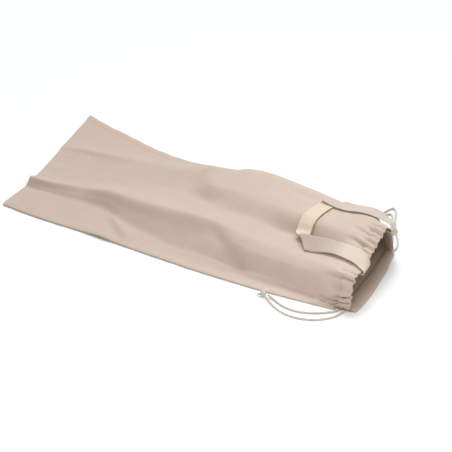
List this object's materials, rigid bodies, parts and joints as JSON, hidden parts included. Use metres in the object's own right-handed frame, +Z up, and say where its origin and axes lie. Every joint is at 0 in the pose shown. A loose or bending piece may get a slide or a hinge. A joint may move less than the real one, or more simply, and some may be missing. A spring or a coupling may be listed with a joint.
{
  "type": "bread bag",
  "caption": "Long cotton drawstring bread bag lying on its side, filled out towards its open gathered mouth, with a flat tape handle laid back over it and knotted cord ends.",
  "frame": {"origin": "bottom centre of the bag and its handle, on the surface it lies on", "axes": "+X along the bag's length from the closed end to the mouth, +Y across it away from the near side, +Z up"},
  "size_m": [0.6814, 0.378, 0.0784],
  "materials": {
    "unbleached cotton": "plain-weave unbleached cotton, matt",
    "cream cotton tape": "woven cream cotton tape, matt",
    "cotton cord": "twisted white cotton cord, matt"
  },
  "bodies": {
    "root": {"bag_cloth": "unbleached cotton", "handle_tape": "cream cotton tape", "near_cord_a": "cotton cord", "near_cord_b": "cotton cord", "near_knot": "cotton cord", "far_cord_a": "cotton cord", "far_cord_b": "cotton cord", "far_knot": "cotton cord"}
  },
  "joints": []
}
